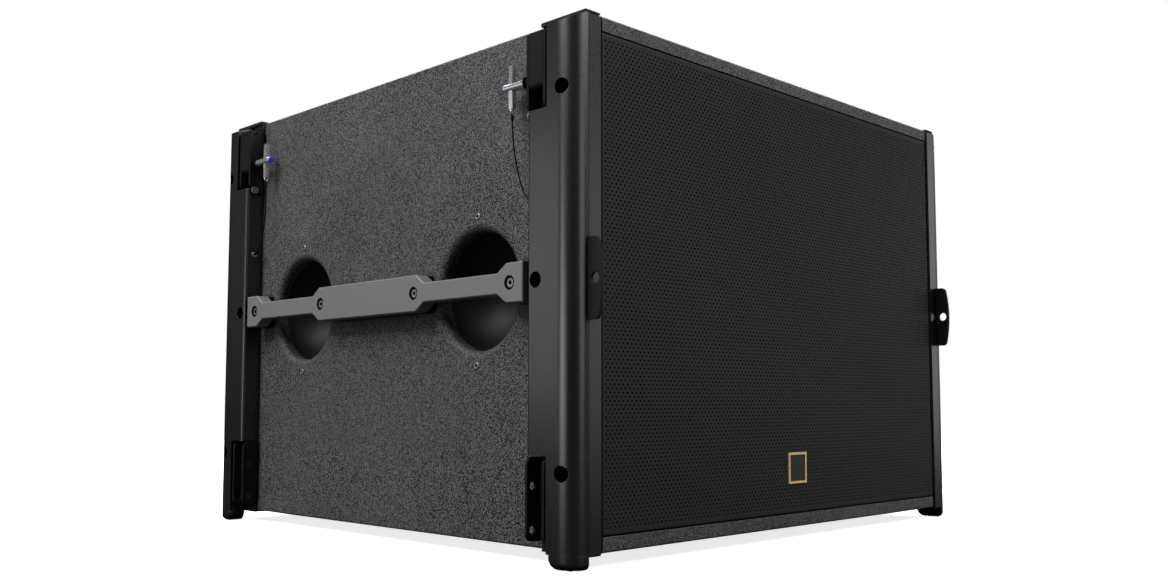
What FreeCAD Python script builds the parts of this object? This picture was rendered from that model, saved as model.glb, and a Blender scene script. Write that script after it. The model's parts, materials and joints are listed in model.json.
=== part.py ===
"""Flyable bass-reflex subwoofer of a line array family, with four rigging rails and quick-release pins.

Frame: origin on the floor under the middle of the overall box, +X to the listener's right,
the grille faces -Y, +Z up, millimetres.
"""
import FreeCAD, Part
import math
import os
import Sketcher

V = FreeCAD.Vector
doc = FreeCAD.newDocument("LineArraySubwoofer")

# ---------------------------------------------------------------- driving dimensions

SIZES = {
    # cabinet
    "cab_wide": 770, "cab_deep": 768, "cab_high": 588, "board": 17, "side_board": 18,
    "edge_round": 3, "foot_drop": 16, "tab_reach": 22.2, "front_lip": 2,
    "groove_back": 5, "groove_end": 18.7,
    # baffle, port walls and braces
    "baffle_set": 48, "baffle_thick": 24, "duct_wide": 74, "duct_deep": 560,
    "brace_deep": 40, "brace_high": 18, "brace_back": 520,
    # grille and badge
    "grille_gap": 1.2, "grille_thick": 1.5, "grille_return": 12, "foam_thick": 3, "foam_edge": 4,
    "bracket_wide": 40, "bracket_deep": 14, "bracket_high": 10,
    "badge_side": 40, "badge_rim": 3, "badge_proud": 2, "badge_up": 56,
    # driver, radii about its axis and depths behind the baffle's front face
    "flange_out": 272.5, "flange_front": 10, "hole_round": 252, "neck_round": 120, "plate_out": 105,
    "basket_deep": 125, "coil_in": 56.5, "coil_out": 58.5, "coil_front": 86, "coil_back": 152,
    "cone_edge": 206.7, "cone_front": 6, "cone_thick": 2.5, "roll_middle": 223.5, "roll_round": 16.5,
    "roll_wall": 2.5, "cap_round": 75, "cap_wall": 1.5, "gap_in": 55, "gap_out": 60, "magnet_out": 112,
    "plate_thick": 12, "magnet_thick": 34, "spider_out": 104, "spider_at": 112, "spider_thick": 2,
    "bolt_ring": 262, "driver_bolt": 3, "driver_head": 5.5, "driver_head_high": 5, "basket_wall": 4,
    "window_start": 0.42, "window_share": 0.45, "cone_lip": 4, "cone_neck": 2, "coil_gap": 0.3,
    # rail section, measured outward from the side board and back from the front plane
    "rail_out": 28, "rail_back": 70.4, "rail_round": 25, "rail_heel": 4, "rail_wall": 4, "column_round": 19.5,
    "flange_in": 14.8, "wall_front": 35.5, "wall_rear": 39.5, "groove_wide": 0.8, "groove_deep": 0.5,
    "rail_top": 585.5, "slope_low": 576.5, "slope_in": 8, "low_notch": 104, "high_notch": 484,
    "access_bore": 9, "access_up": 503.5, "access_mid": 295, "access_low": 85.5, "access_front": 18,
    "access_mid_back": 57, "access_run": 12, "rail_bolt": 4, "rail_head": 6.5, "rail_head_high": 6,
    # feet and caps
    "foot_heel": 12, "foot_toe": 7, "sole_proud": 0.5, "sole_thick": 3,
    "sole_out": 18, "sole_in": 6.5, "sole_front": 12, "sole_rear": 24,
    "cap_in": 16, "cap_out": 7, "cap_deep": 71, "cap_high": 2, "cap_bevel": 1,
    # rigging channel, link arm and pin
    "chan_out": 26.5, "chan_web": 3.5, "chan_front": 43.5, "chan_rear": 74, "chan_corner": 8,
    "chan_low_a": 10, "chan_low_b": 102, "chan_high_a": 484.5, "chan_high_b": 572,
    "lug_out": 22, "lug_low": 476, "lug_high": 486, "lug_bolt_up": 481, "lug_head_high": 2.5,
    "pin_in": 18, "pin_bore": 4.5, "pin_up": 521, "pin_top": 569.7, "pin_low_a": 70, "pin_low_b": 22.5,
    "tip_bore": 5.5, "arm_out": 26.5, "arm_back": 9, "arm_front": 47.75, "arm_rear": 69.75,
    "arm_low": 508, "arm_high": 574, "arm_eye": 563.5, "fork_half": 4.3, "arm_round": 8, "arm_edge": 1.5,
    "shank": 3.9, "shank_tip": 42, "collar": 76, "collar_round": 5, "collar_end": 119.5, "collar_edge": 1.2,
    "tee_at": 107.5, "tee_middle": 3.25, "tee_tip": 2.5, "tee_half": 25.5,
    "ring_round": 2.3, "ring_wire": 0.7, "button_bore": 4.3, "button_round": 4, "button_in": 115,
    "button_out": 122, "button_well": 111.5, "button_edge": 0.8,
    # lanyards
    "cable_round": 1, "anchor_round": 3.5, "anchor_proud": 3, "anchor_up": 383.5, "anchor_in": 15,
    # dolly board tabs on the front
    "tab_mid": 294, "tab_half": 44.8, "tab_thick": 4, "tab_hole": 6.1, "tab_hole_reach": 12.6,
    "tab_corner": 6, "tab_bow": 5.3,
    # side handle bars
    "bar_mid_up": 295, "bar_half": 305.6, "bar_thick": 18, "wide_half": 22.7, "neck_half": 12,
    "end_long": 27.6, "neck_run": 16, "mid_half": 110, "bar_bevel": 1.2, "bore_head": 8.4, "bore_deep": 6.5,
    "head_round": 5.3, "head_high": 5, "bar_screw": 3, "end_screw": 284, "mid_screw": 105.5,
    "hex_round": 2.9, "hex_deep": 3,
    # hand cups behind the bars
    "cup_mouth": 72, "cup_up": 294, "cup_from_mid": 195, "cup_lip": 9, "cup_deep": 62, "cup_wall": 3,
    "cup_flange": 98, "cup_screw_out": 89.5, "cup_screw": 2, "cup_head": 4.6, "cup_head_high": 1.2,
    "cup_head_edge": 0.5,
    # connector plate on the rear
    "plate_wide": 180, "plate_high": 110, "plate_up": 120, "hatch_wide": 150, "hatch_high": 80,
    "socket_side": 38, "socket_round": 13, "socket_bore": 10.5, "socket_deep": 16, "socket_body": 24,
    "plate_corner": 6, "plate_screw": 2, "plate_head": 4, "plate_head_high": 1.2, "screw_inset": 8,
}

sheet = doc.addObject("Spreadsheet::Sheet", "Sizes")
for row, (word, value) in enumerate(SIZES.items(), 1):
    sheet.set("A%d" % row, word)
    sheet.set("B%d" % row, str(value))
    sheet.setAlias("B%d" % row, word)
doc.recompute()


class Size:
    """A length with both its number and the sheet formula it comes from."""

    def __init__(self, number, formula):
        self.number = float(number)
        self.formula = formula

    def _join(self, other, sign, number, swap=False):
        text = other.formula if isinstance(other, Size) else repr(float(other))
        left, right = (text, self.formula) if swap else (self.formula, text)
        return Size(number, "(%s %s %s)" % (left, sign, right))

    def __add__(self, other):
        return self._join(other, "+", self.number + number_of(other))

    def __sub__(self, other):
        return self._join(other, "-", self.number - number_of(other))

    def __rsub__(self, other):
        return self._join(other, "-", number_of(other) - self.number, swap=True)

    def __mul__(self, other):
        return self._join(other, "*", self.number * number_of(other))

    def __truediv__(self, other):
        return self._join(other, "/", self.number / number_of(other))

    def __neg__(self):
        return Size(-self.number, "(0 - %s)" % self.formula)

    __radd__ = __add__
    __rmul__ = __mul__


def number_of(value):
    """The plain number of a Size or of a number."""
    return value.number if isinstance(value, Size) else float(value)


def size(word):
    """The Size of one named cell of the sheet."""
    return Size(sheet.get(word), "Sizes." + word)


SIDE = -size("cab_wide") / 2                                              # outer face of the left side board
FRONT = (size("tab_reach") - size("cab_deep") - size("front_lip")) / 2    # front plane of the cabinet
BASE = size("foot_drop")                                                  # underside of the cabinet
MIDDLE = FRONT + size("cab_deep") / 2                                     # front-to-back mirror plane
DRIVER_UP = BASE + size("cab_high") / 2
AXES = {"X": V(1, 0, 0), "Y": V(0, 1, 0), "Z": V(0, 0, 1)}
OVER = 1                                                                  # run-out of a cutting tool

# ---------------------------------------------------------------- modelling helpers


def bind(thing, name, value):
    """Set a property from a Size, so that it follows the sheet."""
    if isinstance(value, Size):
        thing.setExpression(name, value.formula)
    else:
        thing.setExpression(name, repr(float(value)))


def place(thing, spot, turn=None):
    """Put a thing at a spot given as three Sizes, turned by a rotation."""
    thing.Placement = FreeCAD.Placement(V(*[number_of(c) for c in spot]), turn or FreeCAD.Rotation())
    for letter, value in zip("xyz", spot):
        bind(thing, ".Placement.Base." + letter, value)
    return thing


def box(name, low, high):
    """A block between two corners."""
    block = doc.addObject("Part::Box", name)
    for prop, a, b in zip(("Length", "Width", "Height"), low, high):
        bind(block, prop, b - a)
    return place(block, low)


def rod(name, axis, start, radius, length):
    """A round bar from start along +axis."""
    bar = doc.addObject("Part::Cylinder", name)
    bind(bar, "Radius", radius)
    bind(bar, "Height", length)
    return place(bar, start, FreeCAD.Rotation(V(0, 0, 1), AXES[axis]))


def cut(name, base, *tools):
    """The base with every tool taken away, one fused tool at a time."""
    result = doc.addObject("Part::Cut", name)
    result.Base = base
    result.Tool = tools[0] if len(tools) == 1 else group(name + "_tools", *tools)
    return result


def fuse(name, *shapes):
    """Several shapes joined into one solid."""
    result = doc.addObject("Part::MultiFuse", name)
    result.Shapes = list(shapes)
    result.Refine = True
    return result


def common(name, base, tool):
    """What two shapes share."""
    result = doc.addObject("Part::Common", name)
    result.Base = base
    result.Tool = tool
    return result


def group(name, *shapes):
    """Separate solids kept together under one name."""
    result = doc.addObject("Part::Compound", name)
    result.Links = list(shapes)
    return result


def mirrored(name, source, across):
    """The mirror image across the middle plane that faces the given axis."""
    image = doc.addObject("Part::Mirroring", name)
    image.Source = source
    image.Normal = AXES[across]
    if across == "Y":
        bind(image, "Base.y", MIDDLE)
    return image


def four(name, master):
    """The master and its three mirror images: front left, front right, rear left, rear right."""
    front_right = mirrored(name + "_front_right", master, "X")
    rear_left = mirrored(name + "_rear_left", master, "Y")
    rear_right = mirrored(name + "_rear_right", rear_left, "X")
    return [master, front_right, rear_left, rear_right]


def soften(name, kind, base, radius, chosen):
    """A fillet or a chamfer on the edges that chosen(edge) picks."""
    doc.recompute()
    reach = number_of(radius)
    picked = [n for n, edge in enumerate(base.Shape.Edges, 1) if chosen(edge)]
    if not picked:
        raise ValueError("no edge picked for " + name)
    result = doc.addObject("Part::" + kind, name)
    result.Base = base
    result.Edges = [(n, reach, reach) for n in picked]
    return result


def runs_along(edge, axis):
    """True for a straight edge parallel to the axis."""
    if not isinstance(edge.Curve, Part.Line):
        return False
    return abs(edge.Curve.Direction.dot(AXES[axis])) > 0.999


def near(edge, **spot):
    """True when the edge's middle has the given x, y or z."""
    middle = edge.CenterOfMass
    return all(abs(getattr(middle, axis) - number_of(value)) < 0.05 for axis, value in spot.items())


def plane_of(body, role):
    """One of the body's own origin planes or axes."""
    return [feature for feature in body.Origin.OriginFeatures if feature.Role == role][0]


def outline(body, role, corners):
    """A closed sketch of straight lines whose corners are bound to the sheet."""
    sketch = body.newObject("Sketcher::SketchObject", body.Name + "_sketch")
    sketch.AttachmentSupport = [(plane_of(body, role), "")]
    sketch.MapMode = "FlatFace"
    count = len(corners)
    spots = [V(number_of(a), number_of(b), 0) for a, b in corners]
    for n in range(count):
        sketch.addGeometry(Part.LineSegment(spots[n], spots[(n + 1) % count]), False)
    for n in range(count):
        sketch.addConstraint(Sketcher.Constraint("Coincident", n, 2, (n + 1) % count, 1))
    for n, corner in enumerate(corners):
        for kind, value in zip(("DistanceX", "DistanceY"), corner):
            index = sketch.addConstraint(Sketcher.Constraint(kind, -1, 1, n, 1, number_of(value)))
            bind(sketch, "Constraints[%d]" % index, value)
    return sketch


def prism(name, role, corners, length, spot):
    """A body padded from an outline; the spot is where the sketch's own origin goes."""
    body = doc.addObject("PartDesign::Body", name)
    pad = body.newObject("PartDesign::Pad", name + "_pad")
    pad.Profile = outline(body, role, corners)
    bind(pad, "Length", length)
    body.Tip = pad
    return place(body, spot)


def lathe(name, corners, spot, axis="Y"):
    """A body turned about one axis, from corners given as radius and depth along that axis."""
    body = doc.addObject("PartDesign::Body", name)
    turned = body.newObject("PartDesign::Revolution", name + "_turn")
    if axis == "X":
        corners = [(depth, radius) for radius, depth in corners]
    turned.Profile = outline(body, "XY_Plane", corners)
    turned.ReferenceAxis = (plane_of(body, axis + "_Axis"), [""])
    turned.Angle = 360
    body.Tip = turned
    return place(body, spot)


KEPT = {}


def keep(name, thing):
    """Name a finished sub-part and put it on the list to write."""
    thing.Label = name
    KEPT[name] = thing
    return thing


def at(out, back, up):
    """A spot from the left side board outward (negative) or inward, the front plane back, the base up."""
    return (SIDE + out, FRONT + back, BASE + up)


# ---------------------------------------------------------------- cabinet

def make_boards():
    """Top, bottom and rear boards, the baffle, the two port walls and the inner braces."""
    wide, deep, high = size("cab_wide"), size("cab_deep"), size("cab_high")
    board, side = size("board"), size("side_board")
    for name, low, outer in (("top_panel", high - board, high), ("bottom_panel", 0, 0)):
        slab = box(name + "_slab", at(0, 0, low), at(wide, deep, low + board))
        rim = BASE + outer
        rounded = soften(name + "_rounded", "Fillet", slab, size("edge_round"),
                         lambda edge: near(edge, z=rim))
        keep(name, cut(name, rounded, *front_grooves(name)))
    hatch = box("rear_hatch", (-size("hatch_wide") / 2, FRONT + deep - 2 * side, hatch_bottom()),
                (size("hatch_wide") / 2, FRONT + deep + OVER, hatch_bottom() + size("hatch_high")))
    rear = box("rear_slab", at(side, deep - side, board), at(wide - side, deep, high - board))
    keep("rear_panel", cut("rear_panel", rear, hatch))
    face = size("baffle_set")
    inner = side + size("duct_wide") + side
    slab = box("baffle_slab", at(inner, face, board),
               at(wide - inner, face + size("baffle_thick"), high - board))
    opening = rod("baffle_opening", "Y", (0, FRONT + face - OVER, DRIVER_UP), size("hole_round"),
                  size("baffle_thick") + 2 * OVER)
    bolts = driver_bolt_rods("baffle_bolt", size("driver_bolt"), -OVER, size("baffle_thick") + OVER)
    keep("front_baffle", cut("front_baffle", slab, opening, *bolts))
    wall_in = side + size("duct_wide")
    left = box("port_wall_left", at(wall_in, size("baffle_set"), board),
               at(inner, size("duct_deep"), high - board))
    keep("port_walls", group("port_walls", left, mirrored("port_wall_right", left, "X")))
    back, rung = size("brace_back"), size("brace_high")
    cross = box("brace_cross", at(inner, back, (high - rung) / 2),
                at(wide - inner, back + size("brace_deep"), (high + rung) / 2))
    upper = box("brace_upper", (-rung / 2, FRONT + back, BASE + (high + rung) / 2),
                (rung / 2, FRONT + back + size("brace_deep"), BASE + high - board))
    lower = box("brace_lower", (-rung / 2, FRONT + back, BASE + board),
                (rung / 2, FRONT + back + size("brace_deep"), BASE + (high - rung) / 2))
    keep("panel_braces", group("panel_braces", cross, upper, lower))


def front_grooves(name):
    """Cutters of the two upright grooves between the rails' flanges and the grille."""
    groove = box(name + "_groove", at(size("flange_in"), -OVER, -OVER),
                 at(size("groove_end"), size("groove_back"), size("cab_high") + OVER))
    return [groove, mirrored(name + "_groove_right", groove, "X")]


def hatch_bottom():
    """Height of the rear hatch's lower edge."""
    return BASE + size("plate_up") - size("hatch_high") / 2


def bar_screw_backs():
    """Distances of the handle screws behind the front plane."""
    middle = size("cab_deep") / 2
    return [middle + sign * size(word) for word in ("end_screw", "mid_screw") for sign in (-1, 1)]


def cup_centres():
    """Distances of the two hand cups behind the front plane."""
    middle = size("cab_deep") / 2
    return [middle - size("cup_from_mid"), middle + size("cup_from_mid")]


def rail_bolt_spots():
    """Back and up of the bolts behind the three access holes of a front rail."""
    return [(size("access_front"), size("access_up")), (size("access_mid_back"), size("access_mid")),
            (size("access_front"), size("access_low"))]


def make_side_panels():
    """Side boards with two round hand holes each, softened at the outer face, and their screw holes."""
    wide, board, thick = size("cab_wide"), size("board"), size("side_board")
    slab = box("side_slab", at(0, 0, board), at(thick, size("cab_deep"), size("cab_high") - board))
    tools = [rod("side_hand_hole", "X", at(-OVER, back, size("cup_up")), size("cup_mouth"), thick + 2 * OVER)
             for back in cup_centres()]
    holed = cut("side_holed", slab, *tools)
    eased = soften("side_eased", "Fillet", holed, size("cup_lip"),
                   lambda edge: isinstance(edge.Curve, Part.Circle) and near(edge, x=SIDE))
    drills = front_grooves("side_panel")
    for back in bar_screw_backs():
        drills.append(rod("side_drill", "X", at(-OVER, back, size("bar_mid_up")), size("bar_screw"),
                          thick + 2 * OVER))
    for back in cup_centres():
        for sign in (-1, 1):
            up = size("cup_up") + sign * size("cup_screw_out")
            drills.append(rod("side_drill", "X", at(-OVER, back, up), size("cup_screw"), thick + 2 * OVER))
    for back, up in rail_bolt_spots():
        for place_back in (back, size("cab_deep") - back):
            drills.append(rod("side_drill", "X", at(-OVER, place_back, up), size("rail_bolt"),
                              thick + 2 * OVER))
    left = keep("side_panel_left", cut("side_panel_left", eased, *drills))
    keep("side_panel_right", mirrored("side_panel_right", left, "X"))


# ---------------------------------------------------------------- grille and badge

def make_grille():
    """Folded grille pan, the foam behind it, its brackets and the plain badge."""
    wide, high, board = size("cab_wide"), size("cab_high"), size("board")
    inset = size("groove_end")
    low, top = board + size("grille_gap"), high - board - size("grille_gap")
    thick, fold = size("grille_thick"), size("grille_return")
    outer = box("grille_outer", at(inset, 0, low), at(wide - inset, fold, top))
    hollow = box("grille_hollow", at(inset + thick, thick, low + thick),
                 at(wide - inset - thick, fold + OVER, top - thick))
    keep("grille_mesh", cut("grille_mesh", outer, hollow))
    edge = size("foam_edge")
    keep("grille_foam", box("grille_foam", at(inset + edge, thick, low + edge),
                            at(wide - inset - edge, thick + size("foam_thick"), top - edge)))
    brackets = []
    for share in (0.2, 0.5, 0.8):
        middle = wide * share
        for base in (board, high - board - size("bracket_high")):
            brackets.append(box("grille_bracket", at(middle - size("bracket_wide") / 2, fold, base),
                                at(middle + size("bracket_wide") / 2, fold + size("bracket_deep"),
                                   base + size("bracket_high"))))
    keep("grille_brackets", group("grille_brackets", *brackets))
    half, rim, proud = size("badge_side") / 2, size("badge_rim"), size("badge_proud")
    floor = BASE + size("badge_up")
    frame = box("badge_outer", (-half, FRONT - proud, floor), (half, FRONT, floor + size("badge_side")))
    window = box("badge_window", (-half + rim, FRONT - proud - OVER, floor + rim),
                 (half - rim, FRONT + OVER, floor + size("badge_side") - rim))
    keep("badge_frame", cut("badge_frame", frame, window))
    keep("badge_inlay", box("badge_inlay", (-half + rim, FRONT - proud / 2, floor + rim),
                            (half - rim, FRONT, floor + size("badge_side") - rim)))


# ---------------------------------------------------------------- driver

def driver_spot():
    """Where the driver's axis meets the baffle's front face."""
    return (0, FRONT + size("baffle_set"), DRIVER_UP)


def driver_bolt_rods(name, radius, start, stop, count=8):
    """Round bars on the driver's bolt ring, from one depth to another."""
    rods = []
    for n in range(count):
        turn = 2 * math.pi * (n + 0.5) / count
        spot = (size("bolt_ring") * math.cos(turn), FRONT + size("baffle_set") + start,
                DRIVER_UP + size("bolt_ring") * math.sin(turn))
        rods.append(rod(name, "Y", spot, radius, stop - start))
    return rods


def make_driver_frame():
    """Basket with six windows, magnet, plates and bolts."""
    out, neck, deep = size("flange_out"), size("neck_round"), size("basket_deep")
    hole, plate, lip = size("hole_round"), size("plate_out"), size("flange_front")
    wall = size("basket_wall")
    shell = lathe("basket_shell", [
        (hole - 2 * wall, -lip), (out, -lip), (out, 0), (hole - OVER, 0), (hole - 4 * wall, deep / 3),
        (neck, deep), (plate - 4 * wall, deep), (plate - 4 * wall, deep - wall),
        (neck - wall / 2, deep - wall),
        (hole - 5 * wall, deep / 3 - wall), (hole - 2.4 * wall, size("cone_front") + OVER)], driver_spot())
    windows = []
    for n in range(3):
        turn = FreeCAD.Rotation(V(0, 1, 0), 30 + 60 * n)
        gap = doc.addObject("Part::Box", "basket_window")
        for prop, value in (("Length", 2 * out), ("Width", deep * size("window_share")), ("Height", plate)):
            bind(gap, prop, value)
        corner = turn.multVec(V(-out.number, 0, -plate.number / 2))
        start = FRONT + size("baffle_set") + deep * size("window_start")
        gap.Placement = FreeCAD.Placement(V(corner.x, start.number, DRIVER_UP.number + corner.z), turn)
        windows.append(gap)
    bolts = driver_bolt_rods("basket_bolt_hole", size("driver_bolt"), -lip - OVER, OVER)
    keep("driver_basket", cut("driver_basket", shell, *windows, *bolts))
    front_plate = lathe("driver_front_plate", [
        (size("gap_out"), deep), (plate, deep), (plate, deep + size("plate_thick")),
        (size("gap_out"), deep + size("plate_thick"))], driver_spot())
    keep("driver_front_plate", front_plate)
    magnet_front = deep + size("plate_thick")
    magnet_back = magnet_front + size("magnet_thick")
    keep("driver_magnet", lathe("driver_magnet", [
        (size("gap_out"), magnet_front), (size("magnet_out"), magnet_front),
        (size("magnet_out"), magnet_back), (size("gap_out"), magnet_back)], driver_spot()))
    keep("driver_pole_piece", lathe("driver_pole_piece", [
        (0, deep), (size("gap_in"), deep), (size("gap_in"), magnet_back), (plate, magnet_back),
        (plate, magnet_back + size("plate_thick")), (0, magnet_back + size("plate_thick"))], driver_spot()))
    heads = driver_bolt_rods("driver_head", size("driver_head"), -lip - size("driver_head_high"), -lip)
    shanks = driver_bolt_rods("driver_shank", size("driver_bolt"), -lip, size("baffle_thick"))
    bolts = [fuse("driver_bolt", head, shank) for head, shank in zip(heads, shanks)]
    keep("driver_bolts", group("driver_bolts", *bolts))


def make_driver_cone():
    """Moving cone, voice coil and dust cap, with the surround and the spider that carry them."""
    edge, front, thick = size("cone_edge"), size("cone_front"), size("cone_thick")
    coil_in, coil_out, coil_front = size("coil_in"), size("coil_out"), size("coil_front")
    keep("driver_cone", lathe("driver_cone", [
        (edge - size("cone_lip"), front), (edge, front), (edge, front + thick),
        (coil_out + size("cone_neck"), coil_front + thick),
        (coil_out, coil_front + thick), (coil_out, coil_front - thick)], driver_spot()))
    keep("driver_voice_coil", lathe("driver_voice_coil", [
        (coil_in, coil_front), (coil_out, coil_front), (coil_out, size("coil_back")),
        (coil_in, size("coil_back"))], driver_spot()))
    ball = size("cap_round")
    rise = math.sqrt(ball.number ** 2 - coil_out.number ** 2)
    centre = (0, FRONT + size("baffle_set") + coil_front - thick + rise, DRIVER_UP)
    shells = []
    for name, radius in (("cap_outer", ball), ("cap_inner", ball - size("cap_wall"))):
        sphere = doc.addObject("Part::Sphere", name)
        bind(sphere, "Radius", radius)
        shells.append(place(sphere, centre))
    dome = cut("cap_dome", *shells)
    trim = rod("cap_trim", "Y", (0, FRONT + size("baffle_set"), DRIVER_UP), ball, coil_front - thick)
    keep("driver_dust_cap", common("driver_dust_cap", dome, trim))
    rings = []
    roll = size("roll_round")
    for name, radius in (("roll_outer", roll), ("roll_inner", roll - size("roll_wall"))):
        ring = doc.addObject("Part::Torus", name)
        bind(ring, "Radius1", size("roll_middle"))
        bind(ring, "Radius2", radius)
        rings.append(place(ring, (0, FRONT + size("baffle_set") + front, DRIVER_UP),
                           FreeCAD.Rotation(V(0, 0, 1), AXES["Y"])))
    front_half = rod("roll_trim", "Y", (0, FRONT + size("baffle_set") + front - 2 * roll, DRIVER_UP),
                     size("flange_out"), 2 * roll)
    keep("driver_surround", common("driver_surround", cut("roll_shell", *rings), front_half))
    spider = size("spider_at")
    hub = coil_out + size("coil_gap")
    keep("driver_spider", lathe("driver_spider", [
        (hub, spider), (size("spider_out"), spider), (size("spider_out"), spider + size("spider_thick")),
        (hub, spider + size("spider_thick"))], driver_spot()))


# ---------------------------------------------------------------- rails, feet and caps

def rail_block(name, low, high, rear):
    """The rail's outer section between two heights, with its big front radius."""
    block = box(name + "_block", at(-size("rail_out"), -size("front_lip"), low), at(0, rear, high))
    return soften(name + "_front", "Fillet", block, size("rail_round"), lambda edge: runs_along(edge, "Z")
                  and near(edge, x=SIDE - size("rail_out"), y=FRONT - size("front_lip")))


def make_rails():
    """Hollow rails: column and rear chamber, link pockets at both ends, sloped top, groove, access holes."""
    out, wall, lip = size("rail_out"), size("rail_wall"), size("front_lip")
    top, rear = size("rail_top"), size("rail_back")
    block = rail_block("rail", 0, top, rear)
    heeled = soften("rail_heeled", "Fillet", block, size("rail_heel"), lambda edge: runs_along(edge, "Z")
                    and near(edge, x=SIDE - out, y=FRONT + rear))
    flange = box("rail_flange", at(-wall, -lip, 0), at(size("flange_in"), 0, top))
    solid = fuse("rail_solid", heeled, flange)
    column = box("rail_column", at(-out + wall, lip, -OVER), at(-wall, size("wall_front"), top + OVER))
    tools = [
        soften("rail_column_round", "Fillet", column, size("column_round"), lambda edge: runs_along(edge, "Z")
               and near(edge, x=SIDE - out + wall, y=FRONT + lip)),
        box("rail_chamber", at(-out + wall, size("wall_rear"), -OVER),
            at(-wall, rear - wall, top + OVER)),
        box("rail_low_notch", at(-out - OVER, size("wall_rear"), -OVER),
            at(-wall, rear + OVER, size("low_notch"))),
        box("rail_high_notch", at(-out - OVER, size("wall_rear"), size("high_notch")),
            at(-wall, rear + OVER, top + OVER)),
        box("rail_groove", at(-wall - size("groove_wide") / 2, -lip - OVER, -OVER),
            at(-wall + size("groove_wide") / 2, -lip + size("groove_deep"), top + OVER)),
    ]
    slope = prism("rail_slope", "XZ_Plane", [
        (-out - OVER, size("slope_low") - OVER / 2), (-size("slope_in"), top),
        (-size("slope_in"), top + 5 * OVER), (-out - OVER, top + 5 * OVER)],
        rear + 4 * OVER, at(0, rear + OVER, 0))
    tools.append(slope)
    for n, (back, up) in enumerate(rail_bolt_spots()):
        tools.append(rod("rail_access", "X", at(-out - OVER, back, up), size("access_bore"),
                         size("access_run") + OVER))
        tools.append(rod("rail_bolt_hole", "X", at(-wall - OVER, back, up), size("rail_bolt"),
                         wall + 2 * OVER))
    for up in (size("pin_low_a"), size("pin_low_b"), size("pin_up"), size("pin_top")):
        tools.append(rod("rail_tip_hole", "Y", at(-size("pin_in"), size("wall_front") - OVER, up),
                         size("tip_bore"), wall + 2 * OVER))
    rail = cut("rail_front_left", solid, *tools)
    for spot, thing in zip(("front_left", "front_right", "rear_left", "rear_right"), four("rail", rail)):
        keep("rail_" + spot, thing)
    bolts = []
    for back, up in rail_bolt_spots():
        shank = rod("rail_shank", "X", at(-wall, back, up), size("rail_bolt"), wall + size("side_board"))
        head = rod("rail_head", "X", at(-wall - size("rail_head_high"), back, up), size("rail_head"),
                   size("rail_head_high"))
        bolts.append(fuse("rail_bolt", head, shank))
    keep("rail_bolts", group("rail_bolts", *four("rail_bolt_set", group("rail_bolt_set", *bolts))))


def make_feet():
    """Cast feet under the rails' columns, their rubber soles, and the pads on top and under the cabinet."""
    out, wall, lip = size("rail_out"), size("rail_wall"), size("front_lip")
    low = -(size("foot_drop") - size("sole_proud"))
    rear = size("wall_rear")
    block = box("foot_block", at(-out, -lip, low), at(0, rear, 0))
    heeled = soften("foot_heeled", "Fillet", block, size("foot_heel"), lambda edge: runs_along(edge, "X")
                    and near(edge, y=FRONT + rear, z=BASE + low))
    fronted = soften("foot_fronted", "Fillet", heeled, size("rail_round"), lambda edge: runs_along(edge, "Z")
                     and near(edge, x=SIDE - out, y=FRONT - lip))
    trim = box("foot_trim", at(-wall, -lip - OVER, low - OVER), at(OVER, rear + OVER, OVER))
    toed = soften("foot_toed", "Fillet", cut("foot_trimmed", fronted, trim), size("foot_toe"),
                  lambda edge: isinstance(edge.Curve, Part.Circle) and near(edge, z=BASE + low))
    floor = -size("foot_drop")
    sole = box("foot_sole", at(-size("sole_out"), size("sole_front"), floor),
               at(-size("sole_in"), size("sole_rear"), floor + size("sole_thick")))
    foot = cut("rail_foot", toed, sole)
    keep("rail_feet", group("rail_feet", *four("rail_foot", foot)))
    keep("foot_soles", group("foot_soles", *four("foot_sole", sole)))
    high, top = size("cab_high"), size("rail_top")
    rise, bevel, reach = size("cap_high"), size("cap_bevel"), size("cap_in")
    cap = prism("rail_top_cap", "XZ_Plane", [
        (-size("cap_out"), top), (0, top), (0, high), (reach, high), (reach, high + rise - bevel),
        (reach - bevel, high + rise), (-size("cap_out"), high + rise)],
        size("cap_deep"), at(0, size("cap_deep"), 0))
    pad = prism("rail_base_pad", "XZ_Plane", [
        (-wall, -rise), (reach - bevel, -rise), (reach, -rise + bevel), (reach, 0), (-wall, 0)],
        size("cap_deep"), at(0, size("cap_deep"), 0))
    keep("rail_end_caps", group("rail_end_caps", *four("rail_top_cap", cap), *four("rail_base_pad", pad)))


# ---------------------------------------------------------------- rigging channels, arms and pins

def rigging_channel(name, low, high, corners, pins):
    """A U-shaped steel channel: web against the rail, two cheeks with pin holes, rounded outer corners."""
    wall, web = size("rail_wall"), size("chan_web")
    front, rear = size("chan_front"), size("chan_rear")
    block = box(name + "_block", at(-size("chan_out"), front, low), at(-wall, rear, high))
    eased = soften(name + "_eased", "Fillet", block, size("chan_corner"), lambda edge: runs_along(edge, "Y")
                   and any(near(edge, x=SIDE - size("chan_out"), z=BASE + up) for up in corners))
    slot = box(name + "_slot", at(-size("chan_out") - OVER, front + web, low - OVER),
               at(-wall - web, rear - web, high + OVER))
    drills = [rod(name + "_pin_hole", "Y", at(-size("pin_in"), front - OVER, up), size("pin_bore"),
                  rear - front + 2 * OVER) for up in pins]
    return cut(name, eased, slot, *drills)


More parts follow.
